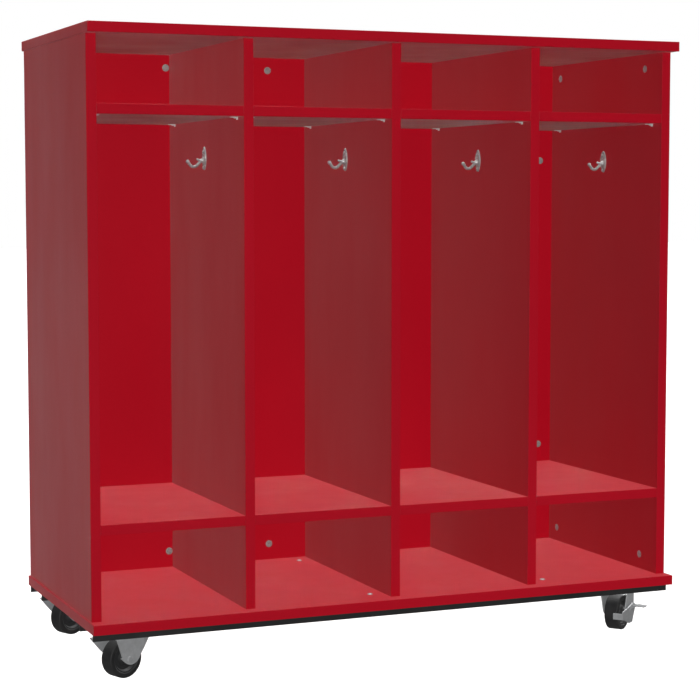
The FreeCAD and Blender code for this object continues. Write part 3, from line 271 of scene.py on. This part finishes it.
def make_looks():
    """Look for each material slot of the record."""
    return {
        "laminate_flat": laminate_material("laminate_flat_look"),
        "laminate_upright": laminate_material("laminate_upright_look"),
        "laminate_back": laminate_material("laminate_back_look"),
        "laminate_shelf": laminate_material("laminate_shelf_look"),
        "dowel_beech": wood_material("dowel_beech_look"),
        "shelf_pin_steel": metal_material("shelf_pin_look", (0.42, 0.42, 0.41), 0.32),
        "cam_zinc": metal_material("cam_look", (0.21, 0.21, 0.2), 0.3, EVEN_GRAIN),
        "hook_chrome": metal_material("hook_look", (0.24, 0.24, 0.235), 0.24, POLISHED_GRAIN, 0.08),
        "hook_screw_steel": metal_material("hook_screw_look", (0.2, 0.2, 0.195), 0.28),
        "bolt_steel": metal_material("bolt_look", (0.2, 0.2, 0.195), 0.34),
        "screw_steel": metal_material("screw_look", (0.3, 0.3, 0.29), 0.38),
        "channel_black": powder_coat_material("channel_look", (0.009, 0.009, 0.009), 0.45),
        "caster_plate_steel": metal_material("caster_plate_look", (0.22, 0.225, 0.23), 0.45),
        "fork_steel": metal_material("fork_look", (0.275, 0.28, 0.285), 0.42, COARSE_LEVEL_GRAIN),
        "axle_steel": metal_material("axle_look", (0.25, 0.255, 0.26), 0.4),
        "hub_plastic": powder_coat_material("hub_look", (0.012, 0.012, 0.0125), 0.5),
        "tread_rubber": rubber_material("tread_rubber_look"),
        "lever_steel": metal_material("lever_look", (0.24, 0.245, 0.25), 0.42, COARSE_LEVEL_GRAIN),
    }


def dress_cad_nodes(looks):
    """Give each CAD node the look of its slot."""
    for subpart in frame["record"]["subparts"]:
        mesh = nodes[subpart["node"]].data
        mesh.materials.clear()
        mesh.materials.append(looks[subpart["material_slot"]])


# ---------------------------------------------------------------- shared piece helper

def finished_piece(mesh, name, look, node):
    """Object made from a bmesh, standing for a CAD node of the cabinet."""
    data = bpy.data.meshes.new(name)
    mesh.to_mesh(data)
    mesh.free()
    data.materials.append(look)
    piece = bpy.data.objects.new(name, data)
    bpy.context.scene.collection.objects.link(piece)
    weighted = piece.modifiers.new("shading", "WEIGHTED_NORMAL")
    weighted.keep_sharp = True
    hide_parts(node)
    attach(piece, "cabinet")


# ---------------------------------------------------------------- boards

# Thickness of the edge banding and radius of the rounded edges, in metres.
BAND = 0.0012
BAND_EDGE = 0.0005
BOARD_EDGE = 0.0003

# Sides with banding, as axis and direction.
X, Y = 0, 1
FRONT_BAND = [(Y, -1)]
ALL_BANDS = [(Y, -1), (Y, 1), (X, -1), (X, 1)]
UPRIGHTS = ("left_side_panel", "right_side_panel", "partition_1", "partition_2", "partition_3")
SHELVES = ["%s_shelf_%d" % (row, number) for row in ("upper", "lower") for number in (1, 2, 3, 4)]


def bevelled_box(mesh, low, high, radius, segments):
    """Add a box with rounded edges to a bmesh."""
    size = [b - a for a, b in zip(low, high)]
    middle = [(a + b) / 2 for a, b in zip(low, high)]
    matrix = Matrix.Translation(middle) @ Matrix.Diagonal((*size, 1.0))
    made = bmesh.ops.create_cube(mesh, size=1.0, matrix=matrix)
    edges = dict.fromkeys(edge for corner in made["verts"] for edge in corner.link_edges)
    result = bmesh.ops.bevel(mesh, geom=list(edges), offset=radius, segments=segments, profile=0.5,
                             affect="EDGES", clamp_overlap=True)
    faces = set(result["faces"])
    for corner in result["verts"]:
        faces.update(corner.link_faces)
    for face in faces:
        face.smooth = True


def board(node, banded, look):
    """Laminated board with a strip of edge banding on each of the banded sides."""
    low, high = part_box(node)
    core_low = list(low)
    core_high = list(high)
    strips = []
    for axis, side in banded:
        strip_low = list(core_low)
        strip_high = list(core_high)
        if side < 0:
            strip_high[axis] = low[axis] + BAND
            core_low[axis] = low[axis] + BAND
        else:
            strip_low[axis] = high[axis] - BAND
            core_high[axis] = high[axis] - BAND
        strips.append((strip_low, strip_high))
    mesh = bmesh.new()
    bevelled_box(mesh, core_low, core_high, BOARD_EDGE, 1)
    for strip_low, strip_high in strips:
        bevelled_box(mesh, strip_low, strip_high, BAND_EDGE, 2)
    finished_piece(mesh, node + "_board", look, node)


def add_boards(looks):
    """Boards that stand for the plain CAD panels."""
    for node in ("top_panel", "base_panel"):
        board(node, ALL_BANDS, looks["laminate_flat"])
    for node in UPRIGHTS:
        board(node, FRONT_BAND, looks["laminate_upright"])
    board("back_panel", [], looks["laminate_back"])
    for node in SHELVES:
        board(node, FRONT_BAND, looks["laminate_shelf"])


# ---------------------------------------------------------------- cams

# Steps of the domed head, sides of the round barrel, rise of the head and weld distance in metres.
CAM_RINGS = 6
CAM_SIDES = 40
CAM_DOME = 0.0004
WELD = 1e-6


def loose_parts(data):
    """Vertex places of each separate solid of a mesh, in the mesh's own order."""
    mesh = bmesh.new()
    mesh.from_mesh(data)
    bmesh.ops.remove_doubles(mesh, verts=mesh.verts, dist=WELD)
    found = set()
    parts = []
    for start in mesh.verts:
        if start in found:
            continue
        found.add(start)
        part = [start]
        for vertex in part:
            for edge in vertex.link_edges:
                other = edge.other_vert(vertex)
                if other not in found:
                    found.add(other)
                    part.append(other)
        parts.append([vertex.co.copy() for vertex in part])
    mesh.free()
    return parts


def cam_outline(radius, depth):
    """Radius and height of each ring of a cam, from its foot up to its domed head."""
    outline = [(radius, -depth), (radius, -CAM_DOME)]
    for ring in range(1, CAM_RINGS):
        angle = math.pi / 2 * ring / CAM_RINGS
        outline.append((radius * math.cos(angle), -CAM_DOME * (1 - math.sin(angle))))
    return outline


def add_cam(mesh, places):
    """Add one cam: a barrel in the panel with a low domed head above its face."""
    low = Vector([min(place[axis] for place in places) for axis in range(3)])
    high = Vector([max(place[axis] for place in places) for axis in range(3)])
    size = high - low
    middle = (low + high) / 2
    axis = min(range(3), key=lambda index: size[index])
    outward = Vector((0.0, 0.0, 0.0))
    outward[axis] = -1.0 if middle[axis] > 0 else 1.0
    head = middle + outward * (size[axis] / 2)
    turn = outward.to_track_quat("Z", "Y")
    rings = []
    for reach, height in cam_outline(max(size) / 2, size[axis]):
        ring = []
        for side in range(CAM_SIDES):
            angle = 2 * math.pi * side / CAM_SIDES
            spot = Vector((reach * math.cos(angle), reach * math.sin(angle), height))
            ring.append(mesh.verts.new(head + turn @ spot))
        rings.append(ring)
    tip = mesh.verts.new(head)
    for side in range(CAM_SIDES):
        after = (side + 1) % CAM_SIDES
        for lower, upper in zip(rings, rings[1:]):
            mesh.faces.new((lower[side], lower[after], upper[after], upper[side])).smooth = True
        mesh.faces.new((rings[-1][side], rings[-1][after], tip)).smooth = True
    mesh.faces.new(list(reversed(rings[0])))


def add_cams(looks):
    """Cams with domed heads, one for each solid of the CAD node."""
    mesh = bmesh.new()
    for places in loose_parts(nodes["cam_locks"].data):
        add_cam(mesh, places)
    finished_piece(mesh, "cam_locks_domed", looks["cam_zinc"], "cam_locks")


# ---------------------------------------------------------------- stage

# Side of the floor in metres, and brightness of the grey tent.
FLOOR_SIZE = 60.0
TENT_LIGHT = 0.12

# Direction that each light comes from, its strength and its spread in degrees.
SUNS = {
    "key_front": ((-0.42, -0.88, 0.22), 3.3, 30.0),
    "key_top": ((0.25, 0.55, 0.80), 2.3, 30.0),
    "above": ((0.1, 0.1, 1.0), 1.9, 30.0),
    "right_back": ((0.90, 0.30, 0.30), 0.8, 30.0),
    "behind_left": ((-0.36, 0.93, -0.05), 0.135, 30.0),
    "behind_high": ((0.36, 0.92, 0.10), 0.02, 30.0),
    "behind_low": ((0.36, 0.92, -0.08), 0.065, 30.0),
    "below": ((0.0, -0.05, -1.0), 0.15, 50.0),
}


def add_floor():
    bpy.ops.mesh.primitive_plane_add(size=FLOOR_SIZE, location=(0, 0, cad_box[0][2]))
    floor = bpy.context.object
    floor.name = "floor"
    floor.data.materials.append(floor_material("floor_look"))


def add_sun(name, comes_from, strength, spread):
    """Wide soft light without shadows, as even as a light tent."""
    data = bpy.data.lights.new(name, "SUN")
    data.energy = strength
    data.angle = math.radians(spread)
    data.use_shadow = False
    data.cycles.use_multiple_importance_sampling = False
    light = bpy.data.objects.new(name, data)
    light.rotation_euler = Vector(comes_from).to_track_quat("Z", "Y").to_euler()
    bpy.context.scene.collection.objects.link(light)


def add_world():
    """White backdrop for the camera and a dimmer grey tent for everything else."""
    world = bpy.data.worlds.new("studio")
    world.use_nodes = True
    tree = world.node_tree
    background = tree.nodes["Background"]
    background.inputs["Color"].default_value = (1.0, 1.0, 1.0, 1.0)
    seen = tree.nodes.new("ShaderNodeLightPath").outputs["Is Camera Ray"]
    strength = tree.nodes.new("ShaderNodeMapRange")
    strength.inputs["To Min"].default_value = TENT_LIGHT
    strength.inputs["To Max"].default_value = 1.0
    tree.links.new(seen, strength.inputs["Value"])
    tree.links.new(strength.outputs["Result"], background.inputs["Strength"])
    bpy.context.scene.world = world


# ---------------------------------------------------------------- the whole scene

looks = make_looks()
add_camera()
dress_cad_nodes(looks)
add_boards(looks)
add_cams(looks)
add_floor()
add_world()
for name, (comes_from, strength, spread) in SUNS.items():
    add_sun("sun_" + name, comes_from, strength, spread)
bpy.context.scene.view_settings.view_transform = "Standard"
